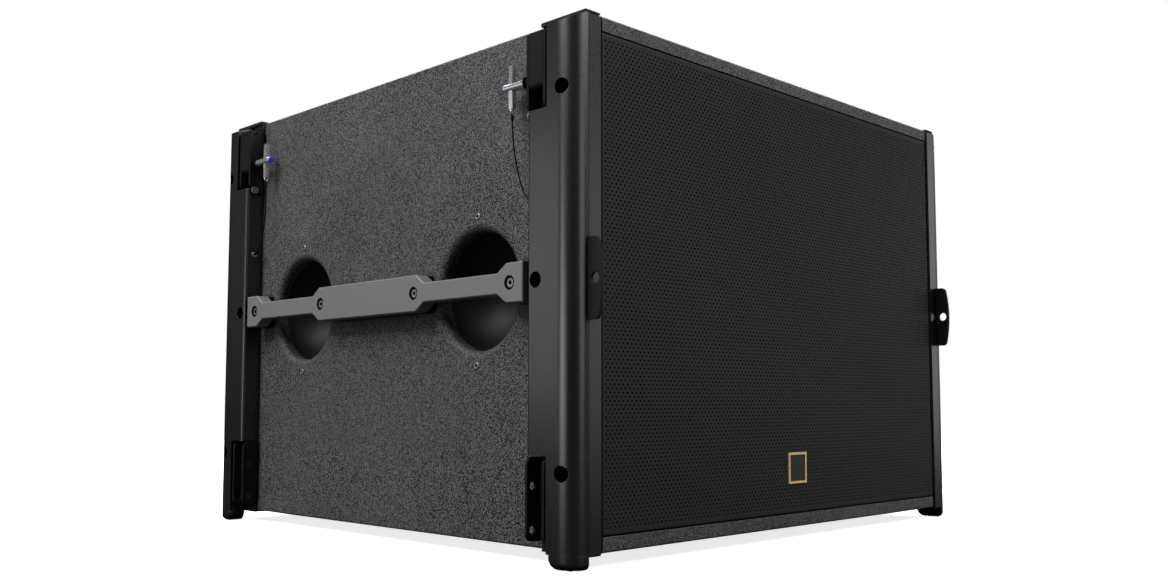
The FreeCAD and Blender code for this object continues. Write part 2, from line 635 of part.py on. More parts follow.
def make_channels():
    """Upper and lower rigging channels of the four corners, and the screws of the upper ones."""
    low = rigging_channel("low_channel", size("chan_low_a"), size("chan_low_b"),
                          (size("chan_low_a"), size("chan_low_b")), (size("pin_low_a"), size("pin_low_b")))
    keep("lower_channels", group("lower_channels", *four("low_channel", low)))
    high = rigging_channel("high_channel", size("chan_high_a"), size("chan_high_b"),
                           (size("chan_high_a"),), (size("pin_up"), size("pin_top")))
    rear, web = size("chan_rear"), size("chan_web")
    lug = box("channel_lug", at(-size("lug_out"), rear - web, size("lug_low")),
              at(-size("rail_wall"), rear, size("lug_high") + size("chan_corner")))
    screw_hole = rod("lug_hole", "Y", at(-size("pin_in"), rear - web - OVER, size("lug_bolt_up")),
                     size("driver_bolt"), web + 2 * OVER)
    joined = cut("high_channel_drilled", fuse("high_channel_lugged", high, lug), screw_hole)
    keep("upper_channels", group("upper_channels", *four("high_channel", joined)))
    shank = rod("lug_shank", "Y", at(-size("pin_in"), rear - web, size("lug_bolt_up")),
                size("driver_bolt"), web)
    head = rod("lug_head", "Y", at(-size("pin_in"), rear, size("lug_bolt_up")), size("driver_head"),
               size("lug_head_high"))
    screw = fuse("channel_screw", head, shank)
    keep("channel_screws", group("channel_screws", *four("channel_screw", screw)))


def make_link_arms():
    """Link arms that lift out of the upper pockets; the forked foot of each rests over its pin."""
    low, high, inset = size("arm_low"), size("arm_high"), size("pin_in")
    front, rear = size("arm_front"), size("arm_rear")
    block = box("arm_block", at(-size("arm_out"), front, low), at(-size("arm_back"), rear, high))
    footed = soften("arm_footed", "Fillet", block, size("arm_round"), lambda edge: runs_along(edge, "Y")
                    and near(edge, x=SIDE - size("arm_out"), z=BASE + low))
    edged = soften("arm_edged", "Fillet", footed, size("arm_edge"), lambda edge: near(edge, z=BASE + high))
    fork = size("fork_half")
    mouth = box("arm_mouth", at(-inset - fork, front - OVER, low - OVER),
                at(-inset + fork, rear + OVER, size("pin_up")))
    root = rod("arm_root", "Y", at(-inset, front - OVER, size("pin_up")), fork, rear - front + 2 * OVER)
    eye = rod("arm_eye", "Y", at(-inset, front - OVER, size("arm_eye")), size("pin_bore"),
              rear - front + 2 * OVER)
    arm = cut("link_arm_front_left", edged, mouth, root, eye)
    for spot, thing in zip(("front_left", "front_right", "rear_left", "rear_right"), four("link_arm", arm)):
        keep("link_arm_" + spot, thing)


def make_lock_pins():
    """Quick-release pins with a tee handle and a push button, and the lanyards' anchors on the rails."""
    inset, up = size("pin_in"), size("pin_up")
    collar, end, tee = size("collar"), size("collar_end"), size("tee_at")
    shank = rod("pin_shank", "Y", at(-inset, size("shank_tip"), up), size("shank"),
                collar - size("shank_tip"))
    sleeve = rod("pin_sleeve", "Y", at(-inset, collar, up), size("collar_round"), end - collar)
    eased = soften("pin_sleeve_eased", "Fillet", sleeve, size("collar_edge"), lambda edge:
                   near(edge, y=FRONT + collar) or near(edge, y=FRONT + end))
    middle, tip, half = size("tee_middle"), size("tee_tip"), size("tee_half")
    handle = prism("pin_tee", "XZ_Plane", [
        (-tip, -half), (tip, -half), (middle, 0), (tip, half), (-tip, half), (-middle, 0)],
        2 * middle, at(-inset, tee + middle, up))
    ring = doc.addObject("Part::Torus", "pin_ring")
    bind(ring, "Radius1", size("ring_round"))
    bind(ring, "Radius2", size("ring_wire"))
    hang = up - half - size("ring_round")
    place(ring, at(-inset, tee, hang), FreeCAD.Rotation(V(0, 0, 1), AXES["Y"]))
    solid = fuse("pin_solid", shank, eased, handle, ring)
    well = rod("pin_well", "Y", at(-inset, size("button_well"), up), size("button_bore"),
               end - size("button_well") + OVER)
    pin = cut("lock_pin_front_left", solid, well)
    knob = rod("button_knob", "Y", at(-inset, size("button_in"), up), size("button_round"),
               size("button_out") - size("button_in"))
    button = soften("pin_button_front_left", "Fillet", knob, size("button_edge"),
                    lambda edge: near(edge, y=FRONT + size("button_out")))
    corners = ("front_left", "front_right", "rear_left", "rear_right")
    for spot, thing, cap in zip(corners, four("lock_pin", pin), four("pin_button", button)):
        keep("lock_pin_" + spot, thing)
        keep("pin_button_" + spot, cap)
    anchor = rod("lanyard_anchor", "Y", at(-size("anchor_in"), size("rail_back"), size("anchor_up")),
                 size("anchor_round"), size("anchor_proud"))
    keep("lanyard_anchors", group("lanyard_anchors", *four("lanyard_anchor", anchor)))


# route of the front left lanyard from its anchor up to the pin's ring: outward, back and up
LANYARD = [(-15, 73.8, 383.5), (-15, 84, 387.5), (-15.3, 94, 404), (-16, 102.5, 430.5), (-17.3, 107, 460),
           (-18, 107.5, 489.2)]


def cord_path(points):
    """Straight runs joined by tangent arcs, each as large as its two runs allow."""
    edges = []
    start = points[0]
    for before, corner, after in zip(points, points[1:], points[2:]):
        come, go = corner - before, after - corner
        short = min(come.Length, go.Length)
        turn = come.getAngle(go)
        reach = 0.45 * short
        radius = reach / math.tan(turn / 2)
        come.normalize()
        go.normalize()
        entry, leave = corner - come * reach, corner + go * reach
        bisector = (go - come).normalize()
        middle = corner + bisector * (radius / math.cos(turn / 2) - radius)
        edges.append(Part.LineSegment(start, entry).toShape())
        edges.append(Part.Arc(entry, middle, leave).toShape())
        start = leave
    edges.append(Part.LineSegment(start, points[-1]).toShape())
    return Part.Wire(edges)


def make_lanyards():
    """Thin steel cables that keep the pins on the cabinet."""
    left, front, base = SIDE.number, FRONT.number, BASE.number
    middle = MIDDLE.number
    for spot, side_sign, rear in (("front_left", 1, False), ("front_right", -1, False),
                                  ("rear_left", 1, True), ("rear_right", -1, True)):
        points = []
        for out, back, up in LANYARD:
            along = front + back
            points.append(V(side_sign * (left + out), 2 * middle - along if rear else along, base + up))
        path = cord_path(points)
        section = Part.Wire([Part.makeCircle(sheet.get("cable_round"), points[0], points[1] - points[0])])
        tube = path.makePipeShell([section], True, False)
        drift = tube.Volume / (math.pi * sheet.get("cable_round") ** 2 * path.Length)
        print("lanyard %s: %.1f mm long, volume ratio %.4f" % (spot, path.Length, drift))
        cable = doc.addObject("Part::Feature", "lanyard_" + spot)
        cable.Shape = tube
        cable.Placement = FreeCAD.Placement()
        keep("lanyard_" + spot, cable)


# ---------------------------------------------------------------- tabs, handle bars, cups and connectors

def make_front_tabs():
    """Upright ears on the front corners, each with a pin hole for a dolly board."""
    lip, thick = size("front_lip"), size("tab_thick")
    line = -size("rail_wall") - thick / 2
    plate = box("tab_plate", at(line, -size("tab_reach"), size("tab_mid") - size("tab_half")),
                at(line + thick, -lip, size("tab_mid") + size("tab_half")))
    half, bow = size("tab_half"), size("tab_bow")
    arc = (half * half + bow * bow) / (2 * bow)
    disc = rod("tab_disc", "X", at(line - OVER, -size("tab_reach") + arc, size("tab_mid")), arc,
               thick + 2 * OVER)
    bowed = common("tab_bowed", plate, disc)
    rounded = soften("tab_rounded", "Fillet", bowed, size("tab_corner"), lambda edge: runs_along(edge, "X")
                     and near(edge, y=FRONT - size("tab_reach") + bow))
    hole = rod("tab_hole", "X", at(line - OVER, -size("tab_hole_reach"), size("tab_mid")), size("tab_hole"),
               thick + 2 * OVER)
    left = cut("front_tab_left", rounded, hole)
    keep("front_tabs", group("front_tabs", left, mirrored("front_tab_right", left, "X")))


def bar_outline():
    """The handle bar's outline about its middle: wide ends and middle, narrow necks, bevelled steps."""
    end, wide, neck = size("bar_half"), size("wide_half"), size("neck_half")
    tab, run, mid = size("end_long"), size("neck_run"), size("mid_half")
    quarter = [(end, wide), (end - tab, wide), (end - tab - run, neck), (mid + run, neck), (mid, wide)]
    upper = quarter + [(-a, b) for a, b in reversed(quarter)]
    return upper + [(a, -b) for a, b in reversed(upper)]


def make_handle_bars():
    """Bar across the two hand cups on each side, its stand-off blocks and its counterbored screws."""
    thick, up = size("bar_thick"), size("bar_mid_up")
    back = size("cab_deep") / 2
    out = size("rail_out")
    bar = prism("bar_blank", "YZ_Plane", bar_outline(), thick, at(-out, back, up))
    edged = soften("bar_edged", "Chamfer", bar, size("bar_bevel"), lambda edge: near(edge, x=SIDE - out))
    seats, shafts, screws = [], [], []
    for spot in bar_screw_backs():
        seats.append(rod("bar_seat", "X", at(-out - OVER, spot, up), size("bore_head"),
                         size("bore_deep") + OVER))
        shafts.append(rod("bar_shaft", "X", at(-out, spot, up), size("bar_screw"), out))
        head = rod("screw_head", "X", at(-out + size("bore_deep") - size("head_high"), spot, up),
                   size("head_round"), size("head_high"))
        shank = rod("screw_shank", "X", at(-out + size("bore_deep"), spot, up), size("bar_screw"),
                    out - size("bore_deep") + size("side_board"))
        key = hex_socket(at(-out + size("bore_deep") - size("head_high") - OVER, spot, up))
        screws.append(cut("handle_screw", fuse("screw_solid", head, shank), key))
    left = cut("handle_bar_left", edged, *seats, *shafts)
    keep("handle_bars", group("handle_bars", left, mirrored("handle_bar_right", left, "X")))
    screw_set = group("handle_screw_set", *screws)
    keep("handle_screws", group("handle_screws", screw_set, mirrored("handle_screw_mirror", screw_set, "X")))
    end, tab, mid, wide = size("bar_half"), size("end_long"), size("mid_half"), size("wide_half")
    blocks = []
    for low, high in ((-end, -end + tab), (-mid, mid), (end - tab, end)):
        blocks.append(box("bar_block", at(-out + thick, back + low, up - wide),
                          at(0, back + high, up + wide)))
    drills = [rod("block_shaft", "X", at(-out, spot, up), size("bar_screw"), out + OVER)
              for spot in bar_screw_backs()]
    spacers = cut("handle_spacer_set", group("bar_blocks", *blocks), *drills)
    keep("handle_spacers", group("handle_spacers", spacers, mirrored("handle_spacer_mirror", spacers, "X")))


def hex_socket(spot):
    """Hexagonal key hole cutter, along +X."""
    key = doc.addObject("Part::Prism", "hex_key")
    key.Polygon = 6
    bind(key, "Circumradius", size("hex_round"))
    bind(key, "Height", size("hex_deep") + OVER)
    return place(key, spot, FreeCAD.Rotation(V(0, 0, 1), AXES["X"]))


def make_hand_cups():
    """Round dished cups behind the hand holes, flanged against the side boards, and their screws."""
    thick, mouth, deep = size("side_board"), size("cup_mouth"), size("cup_deep")
    wall, rim = size("cup_wall"), size("cup_flange")
    cups, screws = [], []
    ball = (mouth * mouth + deep * deep) / (2 * deep)
    for back in cup_centres():
        spheres = []
        for name, radius in (("cup_outer", ball + wall), ("cup_inner", ball)):
            sphere = doc.addObject("Part::Sphere", name)
            bind(sphere, "Radius", radius)
            spheres.append(place(sphere, at(thick + deep - ball, back, size("cup_up"))))
        keeper = rod("cup_keeper", "X", at(thick, back, size("cup_up")), rim, deep + 2 * wall)
        bowl = common("cup_bowl", spheres[0], keeper)
        flange = rod("cup_flange", "X", at(thick, back, size("cup_up")), rim, wall)
        tools = [spheres[1]]
        for sign in (-1, 1):
            up = size("cup_up") + sign * size("cup_screw_out")
            tools.append(rod("cup_drill", "X", at(thick - OVER, back, up), size("cup_screw"),
                             wall + 2 * OVER))
            head = rod("cup_screw_head", "X", at(-size("cup_head_high"), back, up), size("cup_head"),
                       size("cup_head_high"))
            shank = rod("cup_screw_shank", "X", at(0, back, up), size("cup_screw"), thick + wall)
            eased = soften("cup_screw_eased", "Fillet", head, size("cup_head_edge"),
                           lambda edge: near(edge, x=SIDE - size("cup_head_high")))
            screws.append(fuse("cup_screw", eased, shank))
        cups.append(cut("hand_cup", fuse("cup_solid", bowl, flange), *tools))
    cup_pair = group("hand_cup_pair", *cups)
    keep("hand_cups", group("hand_cups", cup_pair, mirrored("hand_cup_mirror", cup_pair, "X")))
    screw_set = group("cup_screw_set", *screws)
    keep("cup_screws", group("cup_screws", screw_set, mirrored("cup_screw_mirror", screw_set, "X")))


def make_connectors():
    """Connector plate over the rear hatch with two round sockets and four screws."""
    deep, lip = size("cab_deep"), size("front_lip")
    half_wide, half_high = size("plate_wide") / 2, size("plate_high") / 2
    middle = BASE + size("plate_up")
    face = FRONT + deep
    plate = box("plate_blank", (-half_wide, face, middle - half_high),
                (half_wide, face + lip, middle + half_high))
    rounded = soften("plate_rounded", "Fillet", plate, size("plate_corner"),
                     lambda edge: runs_along(edge, "Y"))
    tools, sockets, screws = [], [], []
    for sign in (-1, 1):
        spot = (sign * size("socket_side"), face - size("socket_body"), middle)
        barrel = rod("socket_barrel", "Y", spot, size("socket_round"), size("socket_body") + lip)
        bore = rod("socket_bore", "Y", (spot[0], face + lip - size("socket_deep"), middle),
                   size("socket_bore"), size("socket_deep") + OVER)
        sockets.append(cut("connector_socket", barrel, bore))
        tools.append(rod("plate_hole", "Y", (spot[0], face - OVER, middle), size("socket_round"),
                         lip + 2 * OVER))
        for rise in (-1, 1):
            inset = size("screw_inset")
            corner = (sign * (half_wide - inset), face - OVER, middle + rise * (half_high - inset))
            tools.append(rod("plate_drill", "Y", corner, size("plate_screw"), lip + 2 * OVER))
            seat = (corner[0], face + lip - size("plate_head_high"), corner[2])
            tools.append(rod("plate_seat", "Y", seat, size("plate_head"), lip))
            shank = rod("connector_shank", "Y", (corner[0], face, corner[2]), size("plate_screw"), lip)
            head = rod("connector_head", "Y", seat, size("plate_head"), size("plate_head_high"))
            screws.append(fuse("connector_screw", head, shank))
    keep("connector_plate", cut("connector_plate", rounded, *tools))
    keep("connector_sockets", group("connector_sockets", *sockets))
    keep("connector_screws", group("connector_screws", *screws))


# ---------------------------------------------------------------- build, check and write

make_boards()
make_side_panels()
make_grille()
make_driver_frame()
make_driver_cone()
make_rails()
make_feet()
make_channels()
make_link_arms()
make_lock_pins()
make_lanyards()
make_front_tabs()
make_handle_bars()
make_hand_cups()
make_connectors()
doc.recompute()

for thing in doc.Objects:
    if "Invalid" in thing.State or "Error" in thing.State:
        raise RuntimeError("failed object: " + thing.Label)
for name, thing in KEPT.items():
    if thing.Shape.isNull() or not thing.Shape.isValid() or not thing.Shape.Solids:
        raise RuntimeError("bad shape: " + name)

os.makedirs("parts", exist_ok=True)
for name, thing in KEPT.items():
    thing.Shape.exportStep("parts/%s.step" % name)
    reach = thing.Shape.BoundBox
    print("%-24s %3d solids  x %8.1f %8.1f  y %8.1f %8.1f  z %7.1f %7.1f  volume %10.0f" % (
        name, len(thing.Shape.Solids), reach.XMin, reach.XMax, reach.YMin, reach.YMax, reach.ZMin, reach.ZMax,
        thing.Shape.Volume))
print("%d sub-parts" % len(KEPT))
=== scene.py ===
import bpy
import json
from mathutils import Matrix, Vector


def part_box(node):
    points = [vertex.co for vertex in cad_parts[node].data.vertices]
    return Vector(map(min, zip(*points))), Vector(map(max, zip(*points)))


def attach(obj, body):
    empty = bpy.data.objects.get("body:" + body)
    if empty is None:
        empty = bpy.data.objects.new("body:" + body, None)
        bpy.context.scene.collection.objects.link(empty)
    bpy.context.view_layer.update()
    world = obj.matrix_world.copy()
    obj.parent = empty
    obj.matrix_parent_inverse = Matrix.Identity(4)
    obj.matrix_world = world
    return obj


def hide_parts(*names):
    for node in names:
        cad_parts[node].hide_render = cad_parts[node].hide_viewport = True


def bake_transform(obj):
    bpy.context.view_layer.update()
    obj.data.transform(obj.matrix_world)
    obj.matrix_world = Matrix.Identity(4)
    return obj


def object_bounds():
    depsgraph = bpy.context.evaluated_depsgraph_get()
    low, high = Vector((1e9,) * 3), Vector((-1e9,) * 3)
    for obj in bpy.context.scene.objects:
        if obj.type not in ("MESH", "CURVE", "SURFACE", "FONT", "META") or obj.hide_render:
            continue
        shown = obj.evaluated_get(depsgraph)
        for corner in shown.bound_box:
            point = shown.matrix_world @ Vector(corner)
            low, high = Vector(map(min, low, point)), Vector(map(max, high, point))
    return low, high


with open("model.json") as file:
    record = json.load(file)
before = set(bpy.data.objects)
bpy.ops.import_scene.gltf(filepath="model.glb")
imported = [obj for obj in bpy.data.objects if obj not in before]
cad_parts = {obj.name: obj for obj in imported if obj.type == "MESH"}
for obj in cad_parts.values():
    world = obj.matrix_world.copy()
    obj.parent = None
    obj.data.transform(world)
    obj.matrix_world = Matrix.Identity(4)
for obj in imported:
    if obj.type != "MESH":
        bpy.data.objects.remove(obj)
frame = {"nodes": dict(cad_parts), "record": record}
cad_box = [list(corner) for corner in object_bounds()]

import json
import math

import bmesh
import bpy
from mathutils import Vector, noise

# All lengths are metres, apart from the camera's lens and sensor.

CORNERS = ("front_left", "front_right", "rear_left", "rear_right")
SIDE_LOW, SIDE_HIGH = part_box("side_panel_left")
MIDDLE_Y = (SIDE_LOW[1] + SIDE_HIGH[1]) / 2     # the rear rails mirror the front ones about it


# ---------------------------------------------------------------- camera

SENSOR, LENS = 36, 34.26                        # millimetres
SHIFT = (-0.0005, 0.0208)
NEAR, FAR = 0.05, 60
EYE = (-1.23397, -1.20552, 0.17770)
AZIMUTH, RISE = math.radians(45.295), math.radians(4.402)


def make_camera():
    """The photograph's view: from the front left, a little above the floor, looking slightly up."""
    data = bpy.data.cameras.new("camera")
    data.sensor_width, data.lens = SENSOR, LENS
    data.shift_x, data.shift_y = SHIFT
    data.clip_start, data.clip_end = NEAR, FAR
    camera = bpy.data.objects.new("camera", data)
    camera.location = EYE
    ahead = Vector((math.sin(AZIMUTH) * math.cos(RISE), math.cos(AZIMUTH) * math.cos(RISE), math.sin(RISE)))
    camera.rotation_euler = ahead.to_track_quat("-Z", "Y").to_euler()
    bpy.context.collection.objects.link(camera)
    bpy.context.scene.camera = camera


# ---------------------------------------------------------------- light

SURROUND = 0.05                                 # strength of the surroundings that light the object

# name, place, the point it faces, size across and up, watts
SOFTBOXES = (
    # the side's even light, and the glow in the upper halves of the hand cups
    ("left_high", (-2.5, 0.1, 2.8), (-0.4, 0, 0.3), (2.0, 2.0), 165),
    ("left_low", (-1.7, -0.1, 0.05), (-0.35, 0.1, 0.42), (0.9, 0.9), 3),
    # the front's even light
    ("front_high", (0.5, -2.6, 2.8), (0.1, -0.4, 0.3), (2.2, 2.2), 120),
    # the two light bands on the front rail's rounded corner
    ("left_strip", (-2.9, 0.12, 0.52), (-0.4, 0, 0.3), (0.85, 0.9), 3.4),
    ("front_strip", (-0.35, -2.9, 0.62), (-0.3, -0.4, 0.3), (1.0, 1.1), 3.5),
    # what the rails' flat side faces, the front's right part and the near flange reflect
    ("back_left_card", (-2.5, 1.95, 0.70), (-0.4, -0.35, 0.35), (1.3, 1.1), 4.4),
    ("front_right_card", (3.1, -1.8, 0.6), (0.2, -0.4, 0.4), (1.9, 1.6), 10),
    ("front_far_card", (2.0, -3.2, 0.7), (-0.37, -0.37, 0.3), (1.0, 1.6), 3.5),
    # the rear and the right side, for views from behind
    ("back_high", (0.8, 3.0, 2.4), (0, 0.4, 0.3), (2.0, 2.0), 120),
    ("right_high", (3.0, 0.6, 2.2), (0.4, 0, 0.3), (2.0, 2.0), 90),
)


def make_softbox(name, spot, target, size, watts):
    """A rectangular area light that faces a point."""
    data = bpy.data.lights.new(name, "AREA")
    data.shape = "RECTANGLE"
    data.size, data.size_y = size
    data.energy = watts
    light = bpy.data.objects.new(name, data)
    light.location = spot
    light.rotation_euler = (Vector(target) - Vector(spot)).to_track_quat("-Z", "Y").to_euler()
    bpy.context.collection.objects.link(light)


def make_studio():
    """White surroundings for the camera that light the object only weakly, and the softboxes."""
    bpy.context.scene.view_settings.view_transform = "Standard"
    world = bpy.data.worlds.new("studio")
    bpy.context.scene.world = world
    world.use_nodes = True
    nodes, links = world.node_tree.nodes, world.node_tree.links
    surround = nodes["Background"]
    surround.inputs["Color"].default_value = (1, 1, 1, 1)
    surround.inputs["Strength"].default_value = SURROUND
    seen = nodes.new("ShaderNodeBackground")
    seen.inputs["Color"].default_value = (1, 1, 1, 1)
    mix = nodes.new("ShaderNodeMixShader")
    path = nodes.new("ShaderNodeLightPath")
    links.new(path.outputs["Is Camera Ray"], mix.inputs["Fac"])
    links.new(surround.outputs[0], mix.inputs[1])
    links.new(seen.outputs[0], mix.inputs[2])
    links.new(mix.outputs[0], nodes["World Output"].inputs["Surface"])
    for softbox in SOFTBOXES:
        make_softbox(*softbox)


# ---------------------------------------------------------------- materials

NOISE_LOW, NOISE_HIGH = 0.3, 0.7                # the range that a noise mostly keeps to
NOISE_ROUGH = 0.6                               # how much finer octaves add
SPECKLE_DETAIL, GRAIN_DETAIL, BLOTCH_DETAIL = 1.2, 3.0, 2.0     # octaves of noise
BLOTCH_SCALE, BLOTCH_SHARE = 7, 0.12            # slow blotches, and their share of the colour
COAT_ROUGH, SHEEN_ROUGH = 0.12, 0.5             # roughness of any clear coat, and of any sheen
EDGE_GLINT_FROM, EDGE_GLINT_TO = 0.72, 0.995                # cosine between the rounded normal and the flat one
EDGE_GLINT_GAIN, EDGE_GLINT_LIFT = 2.6, 0.03                # how much lighter a painted edge highlight is: times, and plus
NOOK_FROM, NOOK_TO = 0.25, 0.85                 # open share of the space round a point, in a nook and outside
NOOK_SHADE_GREY = 0.001                               # grey of the painted shade in the deepest nook
BEVEL_SAMPLES, NOOK_SAMPLES = 4, 4


def mixed(nodes, links, low, high, share):
    """A colour between two, by a value."""
    mix = nodes.new("ShaderNodeMix")
    mix.data_type = "RGBA"
    mix.inputs["A"].default_value = (*low, 1)
    mix.inputs["B"].default_value = (*high, 1)
    links.new(share, mix.inputs["Factor"])
    return mix.outputs["Result"]


def spread(nodes, links, value, low, high, start=NOISE_LOW, end=NOISE_HIGH):
    """A value from one range, mapped to another."""
    span = nodes.new("ShaderNodeMapRange")
    span.inputs["From Min"].default_value, span.inputs["From Max"].default_value = start, end
    span.inputs["To Min"].default_value, span.inputs["To Max"].default_value = low, high
    links.new(value, span.inputs["Value"])
    return span.outputs["Result"]


def texture(nodes, links, scale, stretch=(1, 1, 1), detail=GRAIN_DETAIL):
    """A noise in the part's own metres, optionally stretched."""
    where = nodes.new("ShaderNodeTexCoord")
    turn = nodes.new("ShaderNodeMapping")
    turn.inputs["Scale"].default_value = stretch
    cloud = nodes.new("ShaderNodeTexNoise")
    cloud.inputs["Scale"].default_value = scale
    cloud.inputs["Detail"].default_value = detail
    cloud.inputs["Roughness"].default_value = NOISE_ROUGH
    links.new(where.outputs["Object"], turn.inputs["Vector"])
    links.new(turn.outputs["Vector"], cloud.inputs["Vector"])
    return cloud.outputs["Fac"]


def paint_edge_highlights(nodes, links, colour, light, rounded, amount):
    """A colour with painted highlights: lighter along edges, where the rounded normal leaves the flat one."""
    flat = nodes.new("ShaderNodeNewGeometry")
    dot = nodes.new("ShaderNodeVectorMath")
    dot.operation = "DOT_PRODUCT"
    links.new(rounded, dot.inputs[0])
    links.new(flat.outputs["Normal"], dot.inputs[1])
    glint_mix = nodes.new("ShaderNodeMix")
    glint_mix.data_type = "RGBA"
    glint_mix.inputs["B"].default_value = tuple(min(1, EDGE_GLINT_GAIN * c + EDGE_GLINT_LIFT) for c in light) + (1,)
    edge = spread(nodes, links, dot.outputs["Value"], amount, 0, EDGE_GLINT_FROM, EDGE_GLINT_TO)
    links.new(edge, glint_mix.inputs["Factor"])
    links.new(colour, glint_mix.inputs["A"])
    return glint_mix.outputs["Result"]


def paint_nook_shade(nodes, links, colour, reach):
    """A colour darkened by painted shade where other surfaces stand within reach."""
    shade = nodes.new("ShaderNodeAmbientOcclusion")
    shade.samples = NOOK_SAMPLES
    shade.inputs["Distance"].default_value = reach
    dim = nodes.new("ShaderNodeMix")
    dim.data_type = "RGBA"
    dim.inputs["A"].default_value = (*grey(NOOK_SHADE_GREY), 1)
    links.new(spread(nodes, links, shade.outputs["AO"], 0, 1, NOOK_FROM, NOOK_TO), dim.inputs["Factor"])
    links.new(colour, dim.inputs["B"])
    return dim.outputs["Result"]


def grey(value, warm=0.0):
    """A near-neutral colour."""
    return (value * (1 + warm), value, value * (1 - warm))


def look(name, dark, light, grain, stretch=(1, 1, 1), rough=(0.4, 0.5), bump=(0.2, 0.0002), metal=0.0,
         specular=0.5, round_edge=0.0006, edge_glint=0.0, coat=0.0, sheen=0.0, speckle=0.0, nook_shade=0.0):
    """A surface with fine grain, slow blotches, painted highlights along its edges, painted shade in its
    nooks, and bump.
    """
    material = bpy.data.materials.new(name)
    material.use_nodes = True
    nodes, links = material.node_tree.nodes, material.node_tree.links
    shader = nodes["Principled BSDF"]
    shader.inputs["Metallic"].default_value = metal
    shader.inputs["Specular IOR Level"].default_value = specular
    shader.inputs["Coat Weight"].default_value = coat
    shader.inputs["Coat Roughness"].default_value = COAT_ROUGH
    shader.inputs["Sheen Weight"].default_value = sheen
    shader.inputs["Sheen Roughness"].default_value = SHEEN_ROUGH
    fine = texture(nodes, links, grain, stretch, SPECKLE_DETAIL if speckle else GRAIN_DETAIL)
    slow = texture(nodes, links, BLOTCH_SCALE, detail=BLOTCH_DETAIL)
    share = nodes.new("ShaderNodeMath")
    share.operation = "MULTIPLY_ADD"
    share.inputs[1].default_value = BLOTCH_SHARE
    links.new(spread(nodes, links, slow, 0, 1), share.inputs[0])
    links.new(spread(nodes, links, fine, 0, 1 - BLOTCH_SHARE, NOISE_LOW + speckle, NOISE_HIGH - speckle),
              share.inputs[2])
    colour = mixed(nodes, links, dark, light, share.outputs[0])
    soft = nodes.new("ShaderNodeBevel")
    soft.samples = BEVEL_SAMPLES
    soft.inputs["Radius"].default_value = round_edge
    # painted highlight: the colour grows lighter along edges, where rounded normals would catch the light
    if edge_glint:
        colour = paint_edge_highlights(nodes, links, colour, light, soft.outputs["Normal"], edge_glint)
    # painted shade: the colour goes dark in nooks, where ambient occlusion finds other surfaces near
    if nook_shade:
        colour = paint_nook_shade(nodes, links, colour, nook_shade)
    links.new(colour, shader.inputs["Base Color"])
    links.new(spread(nodes, links, fine, *rough), shader.inputs["Roughness"])
    bumps = nodes.new("ShaderNodeBump")
    bumps.inputs["Strength"].default_value = bump[0]
    bumps.inputs["Distance"].default_value = bump[1]
    links.new(fine, bumps.inputs["Height"])
    links.new(soft.outputs["Normal"], bumps.inputs["Normal"])
    links.new(bumps.outputs["Normal"], shader.inputs["Normal"])
    return material


